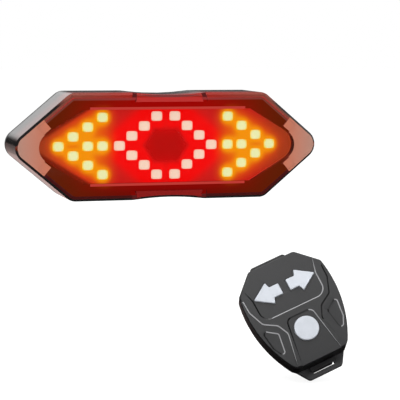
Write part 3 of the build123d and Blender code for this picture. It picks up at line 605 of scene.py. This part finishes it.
# Lights: square diodes soldered to the board, amber in the two arrows and red in the ring,
# all lit. Each shines palest in its middle and takes its colour at its edges.

ring_tip = 18.5
ring_step = (4.95, 3.77)
ring_lights = light_row(ring_tip, ring_step, 4)
diode_core = (1.6, 2.7)
core_spark = 0.5
diode_resin = (0.08, 0.07, 0.05)
amber_middle = (0.87, 1.0, 0.50)
amber_edge = (1.0, 0.74, 0.01)
red_middle = (1.0, 0.77, 0.60)
red_edge = (1.0, 0.56, 0.42)


def lit(name, lights, middle, edge, *wearers):
    """Finish of lit diodes, each with its own bright middle."""
    material, inputs, wire = finish(name, diode_resin, roughness=0.35, Emission_Strength=1.0)
    place = millimetres(wire)
    folded = mirrored(wire, place)
    nearest = away_from(wire, folded, lights[0])
    for light in lights[1:]:
        nearest = nearest.lower(away_from(wire, folded, light))
    spark = grain(wire, place, scale=1.4) * core_spark
    lay(inputs, Emission_Color=(nearest + spark).rise(*diode_core).tint(middle, edge))
    for node in wearers:
        wear(node, material)


lit("led_amber", arrow_lights, amber_middle, amber_edge, "left_turn_leds", "right_turn_leds")
lit("led_red", ring_lights, red_middle, red_edge, "brake_leds")


# Baffle: a moulded plate with a rounded cell for each diode, and the red hexagon that is set
# in its middle. The red and amber on its face is painted glow of the diodes, as emission.

hexagon_angle = math.radians(57)
hexagon_steep = math.sin(hexagon_angle)
hexagon_flat = math.cos(hexagon_angle)
hexagon_half_height = 6.0
hexagon_tip = 8.4
hexagon_halo = (-0.2, 1.8)
hexagon_fade = (2.0, 7.0)
hexagon_stretch = 0.7
window_slope_angle = math.radians(31.4)
window_steep = math.sin(window_slope_angle)
window_flat = math.cos(window_slope_angle)
window_tip = 56.8
field_across = (30.0, 50.0)
amber_core_reach = 3.3
amber_core_level = (0.25, 1.0)
amber_reach = 5.2
amber_level = (0.25, 1.6)
amber_share = 0.8
red_reach = 6.0
red_level = (0.2, 1.3)
dusk_inset = (0.8, 2.6)
dusk_side = (-1.0, 0.0)
dusk_across = (20.0, 26.0)
baffle_shine = 0.15
baffle_tint = (0.05, 0.002, 0.002)
field_red = (0.60, 0.012, 0.009)
field_brown = (0.36, 0.05, 0.012)
ring_red = (1.0, 0.0, 0.0)
arrow_orange = (0.85, 0.12, 0.0)
arrow_amber = (1.0, 0.36, 0.0)
halo_red = (0.60, 0.002, 0.002)
dusk_painted_shade = (0.12, 0.012, 0.001)
hexagon_glow_middle = (0.44, 0.003, 0.002)
hexagon_glow_edge = (0.56, 0.002, 0.002)

baffle_red, baffle_in, wire = finish(
    "baffle_red", baffle_tint, roughness=0.4, Specular_IOR_Level=baffle_shine, Emission_Strength=1.0
)
place = millimetres(wire)
folded = mirrored(wire, place)
x, y, z = parts_of(wire, place)
across = x.size()
height = z.size()
amber_core = glow_of(wire, folded, arrow_lights, amber_core_reach).rise(*amber_core_level)
amber_wide = glow_of(wire, folded, arrow_lights, amber_reach).rise(*amber_level)
red_wide = glow_of(wire, folded, ring_lights, red_reach).rise(*red_level)
past_slope = (across - hexagon_tip) * hexagon_steep + height * hexagon_flat
past_hexagon = (height - hexagon_half_height).higher(past_slope)
from_edge = (window_tip - across) * window_steep - height * window_flat
on_left = x.fall(*dusk_side)
# Painted glow of the diodes, as emission, with painted shade by the window's left edge.
field = across.rise(*field_across).tint(field_red, field_brown)
field = red_wide.tint(field, ring_red)
field = (amber_wide * amber_share).tint(field, arrow_orange)
field = amber_core.tint(field, arrow_amber)
field = past_hexagon.fall(*hexagon_halo).tint(field, halo_red)
field = (from_edge.fall(*dusk_inset) * on_left * across.rise(*dusk_across)).tint(field, dusk_painted_shade)
lay(
    baffle_in,
    Emission_Color=field,
    Roughness=grain(wire, place, scale=0.25).between(0.3, 0.5),
    Normal=relief(wire, grain(wire, place, scale=4.0), strength=0.2, depth=0.00004),
)
wear("led_baffle", baffle_red)

reflector_red, reflector_in, wire = finish(
    "reflector_red", baffle_tint, roughness=0.2, Specular_IOR_Level=baffle_shine, Emission_Strength=1.0
)
place = millimetres(wire)
x, y, z = parts_of(wire, place)
# Painted glow on the hexagon, as emission, brighter red towards its edges.
from_middle = (x.size() * hexagon_stretch).higher(z.size())
lay(
    reflector_in,
    Emission_Color=from_middle.rise(*hexagon_fade).tint(hexagon_glow_middle, hexagon_glow_edge),
    Roughness=grain(wire, place, scale=0.8).between(0.15, 0.25),
)
wear("centre_reflector", reflector_red)


# Electronics: green glass-fibre boards with copper under lacquer, a tinned radio can, a
# metal charging mouth, a moulded switch and the pouch battery in its tray.

lacquer_dark = (0.015, 0.12, 0.045)
lacquer_pale = (0.02, 0.15, 0.055)
copper_track = (0.05, 0.24, 0.10)
circuit_board, board_in, wire = finish("circuit_board", lacquer_pale, roughness=0.4)
place = millimetres(wire)
tracks = wire.node(
    "ShaderNodeTexBrick",
    {"offset": 0.37},
    {
        "Vector": place,
        "Scale": 0.6,
        "Mortar Size": 0.05,
        "Color1": (*lacquer_dark, 1),
        "Color2": (*lacquer_pale, 1),
        "Mortar": (*copper_track, 1),
    },
)
lay(
    board_in,
    Base_Color=tracks,
    Normal=relief(wire, grain(wire, place, scale=6.0), strength=0.2, depth=0.00003),
)
wear("light_board", circuit_board)
wear("remote_board", circuit_board)

broad_scale = 12
dark_share = 0.8
gloss_swing = 0.1
grain_strength = 0.4


def plain(name, colour, roughness, scale, relief_depth, *wearers, **fixed):
    """Finish with a fine grain that varies its colour, gloss and surface."""
    material, inputs, wire = finish(name, colour, roughness, **fixed)
    place = millimetres(wire)
    fine = grain(wire, place, scale)
    broad = grain(wire, place, scale / broad_scale)
    lay(
        inputs,
        Base_Color=broad.tint(tuple(dark_share * part for part in colour), colour),
        Roughness=fine.between(roughness - gloss_swing, roughness + gloss_swing),
        Normal=relief(wire, fine, grain_strength, relief_depth),
    )
    for node in wearers:
        wear(node, material)
    return material


plain("module_metal", (0.55, 0.55, 0.54), 0.35, 4.0, 0.00003, "radio_module", Metallic=1.0)
plain("battery_wrap", (0.55, 0.57, 0.60), 0.35, 0.8, 0.00010, "battery", Metallic=0.8)
plain("inner_plastic", (0.05, 0.05, 0.05), 0.55, 4.0, 0.00004, "battery_tray")
plain("foam", (0.04, 0.04, 0.04), 0.95, 3.0, 0.00020, "battery_pad")
plain("lead_insulation", (0.35, 0.01, 0.01), 0.45, 4.0, 0.00002, "battery_leads")
plain("plug_white", (0.75, 0.73, 0.66), 0.45, 4.0, 0.00003, "battery_plug")
plain("port_metal", (0.62, 0.61, 0.60), 0.3, 5.0, 0.00002, "charging_port", Metallic=1.0)
plain("switch_black", (0.02, 0.02, 0.02), 0.5, 5.0, 0.00003, "power_switch")


# Port plug and power button: soft black rubber, moulded. The plug swings on its neck over the
# charging mouth, and the button's cap shows through the light's lower wall.

plain("plug_rubber", (0.018, 0.018, 0.018), 0.65, 4.0, 0.00005, "port_plug")
plain("button_rubber", (0.03, 0.03, 0.032), 0.55, 4.0, 0.00004, "power_button")


# Seatpost bracket: a saddle of glass-filled nylon with hooks and the sliding rail, moulded in
# one, and the smooth rubber pads that line it and the remote's saddle.

bracket_rounding = 0.0003
bracket_black = plain("bracket_black", (0.026, 0.026, 0.027), 0.55, 5.0, 0.00007)
soft_edged("bracket_body", "mount_bracket", bracket_rounding, "bicycle_side", bracket_black)
plain("pad_rubber", (0.03, 0.03, 0.03), 0.75, 3.0, 0.00008, "bracket_pad", "handlebar_pad")


# Straps: moulded bands of stretchy silicone rubber. One hooks round the seatpost, and the
# other runs through the slots in the remote's ears and round the handlebar.

post_band_rounding = 0.0004
bar_band_rounding = 0.0003
strap_rubber = plain("strap_rubber", (0.02, 0.02, 0.021), 0.6, 4.0, 0.00006)
for name, node, rounding_width in (
    ("seatpost_band", "seatpost_strap", post_band_rounding),
    ("handlebar_band", "handlebar_strap", bar_band_rounding),
):
    soft_edged(name, node, rounding_width, "bicycle_side", strap_rubber)


# Remote's shell: moulded in charcoal plastic with a fine grain, grooved into sunk panels.
# Four screws from below hold it on its base. Its walls, chamfers and key openings are painted
# near black as painted shade, and the steps round its panels carry painted highlight and shade.

remote_place = (115.2, 133.2, -89.2)
remote_angles = [math.radians(angle) for angle in (60.6, -14.9, 18.5)]
remote_turn = Matrix.Rotation(remote_angles[0], 4, "X") @ Matrix.Rotation(remote_angles[1], 4, "Y")
remote_turn = remote_turn @ Matrix.Rotation(remote_angles[2], 4, "Z")
remote_out = (remote_turn.to_3x3() @ Vector((0, 0, 1))).normalized()
lit_direction = (-0.98, 0.2, 0)
light_side = remote_turn.to_3x3() @ Vector(lit_direction)
wall_turn = (0.8, 0.93)
highlight_turn = (0.06, 0.12)
shade_turn = (-0.16, -0.08)
shell_grey = (0.028, 0.028, 0.029)
wall_painted_shade = (0.005, 0.005, 0.006)
step_grey = (0.030, 0.030, 0.031)
step_painted_highlight = (0.30, 0.30, 0.31)
step_painted_shade = (0.001, 0.001, 0.001)
lit_reach = 0.00055
shaded_reach = 0.00080
least_drop = 0.0002
most_drop = 0.0006
head_share = 0.1
upright_within = 0.05
level_from = 0.999
tilted_from = 0.2
tilted_to = 0.9
least_agreement = 0.5
least_spread = 0.6
shell_rounding = 0.0001


def on_remote(wire):
    """Place on the remote in millimetres: right, up and towards the rider."""
    settings = {"vector_type": "TEXTURE"}
    turn = {"Vector": millimetres(wire), "Location": remote_place, "Rotation": remote_turn.to_euler("XYZ")}
    return wire.node("ShaderNodeMapping", settings, turn)


def facing(wire, direction):
    """How far the surface faces a direction given on the remote, from -1 to 1."""
    normal = wire.node("ShaderNodeNewGeometry", output="Normal")
    world = tuple(remote_turn.to_3x3() @ Vector(direction))
    return wire.node("ShaderNodeVectorMath", {"operation": "DOT_PRODUCT"}, {0: normal, 1: world}, "Value")


# Painted shade: faces that turn away from the shell's top are painted near black.
remote_charcoal, charcoal_in, wire = finish(
    "remote_charcoal", shell_grey, roughness=0.5, Specular_IOR_Level=0.4
)
fine = grain(wire, on_remote(wire), scale=6.0)
lay(
    charcoal_in,
    Base_Color=facing(wire, (0, 0, 1)).fall(*wall_turn).tint(shell_grey, wall_painted_shade),
    Roughness=fine.between(0.42, 0.58),
    Normal=relief(wire, fine, strength=0.35, depth=0.00004),
)
# Painted highlight and shade: the sloped steps are painted pale where they face the light's side, and
# black where they face away.
panel_step, step_in, wire = finish("panel_step", step_grey, roughness=0.4, Specular_IOR_Level=0.2)
from_left = facing(wire, lit_direction)
step_painted_light = from_left.rise(*highlight_turn).tint(step_grey, step_painted_highlight)
step_painted_light = from_left.fall(*shade_turn).tint(step_painted_light, step_painted_shade)
fine = grain(wire, on_remote(wire), scale=6.0)
lay(step_in, Base_Color=step_painted_light, Roughness=fine.between(0.35, 0.45))


def slope_steps(work):
    """Leans the low walls round the sunk panels outwards, and marks them with the next finish."""
    many_sided = [face for face in work.faces if len(face.verts) > 4]
    bmesh.ops.triangulate(work, faces=many_sided)
    work.normal_update()
    moves = {}
    for face in work.faces:
        heights = [vertex.co.dot(remote_out) for vertex in face.verts]
        top = max(heights)
        drop = top - min(heights)
        if abs(face.normal.dot(remote_out)) > upright_within or not least_drop < drop < most_drop:
            continue
        heads = [vertex for vertex in face.verts if vertex.co.dot(remote_out) > top - head_share * drop]
        at_face = [
            any(side.normal.dot(remote_out) > level_from for side in head.link_faces)
            for head in heads
        ]
        if not all(at_face):
            continue
        face.material_index = 1
        for head in heads:
            moves.setdefault(head, []).append(face.normal.copy())
    for head, directions in moves.items():
        tilted = [tilted_from < side.normal.dot(remote_out) < tilted_to for side in head.link_faces]
        total = sum(directions, Vector())
        if any(tilted) or total.length < least_agreement:
            continue
        total.normalize()
        reach = lit_reach if total.dot(light_side) > 0 else shaded_reach
        head.co -= total * (reach / max(least_spread, total.dot(directions[0])))


soft_edged(
    "remote_shell", "remote_case", shell_rounding, "bicycle_side", remote_charcoal,
    slope_steps, (panel_step,),
)


# Remote's base: a plate of the same plastic in a darker charcoal, moulded with the handlebar
# saddle and an ear for the strap at either end. The lower ear's outward face is painted
# lighter, a painted highlight where it catches the light.

base_dark = (0.009, 0.009, 0.010)
ear_painted_highlight = (0.040, 0.040, 0.042)
ear_turn = (0.8, 0.93)
ear_height = (-38.0, -36.0)
base_rounding = 0.00025
base_charcoal, base_in, wire = finish("base_charcoal", base_dark, roughness=0.5)
place = on_remote(wire)
fine = grain(wire, place, scale=6.0)
# Painted highlight on the lower ear's outward face.
on_low_ear = facing(wire, (0, 0, 1)).rise(*ear_turn) * parts_of(wire, place)[1].fall(*ear_height)
lay(
    base_in,
    Base_Color=on_low_ear.tint(base_dark, ear_painted_highlight),
    Roughness=fine.between(0.42, 0.58),
    Normal=relief(wire, fine, strength=0.35, depth=0.00004),
)
soft_edged("remote_foot", "remote_base", base_rounding, "bicycle_side", base_charcoal)


# Remote's inside: nickel-plated dome switches on its board, and a steel coin cell held under a
# sprung strip of phosphor bronze.

plain("dome_metal", (0.5, 0.5, 0.5), 0.35, 5.0, 0.00002, "remote_switches", Metallic=1.0)
plain("cell_steel", (0.58, 0.58, 0.57), 0.28, 2.0, 0.00003, "coin_cell", Metallic=1.0)
plain("clip_metal", (0.6, 0.55, 0.42), 0.35, 4.0, 0.00002, "cell_clip", Metallic=1.0)


# Keys: two arrows and a round mode key in pale grey rubber, moulded with soft edges, each
# free to sink into its opening in the shell.

key_rounding = 0.00018
key_grey = plain("key_grey", (0.56, 0.59, 0.64), 0.5, 3.0, 0.00003)
for key in ("left_key", "right_key", "mode_key"):
    soft_edged(key + "_cap", key, key_rounding, key, key_grey)
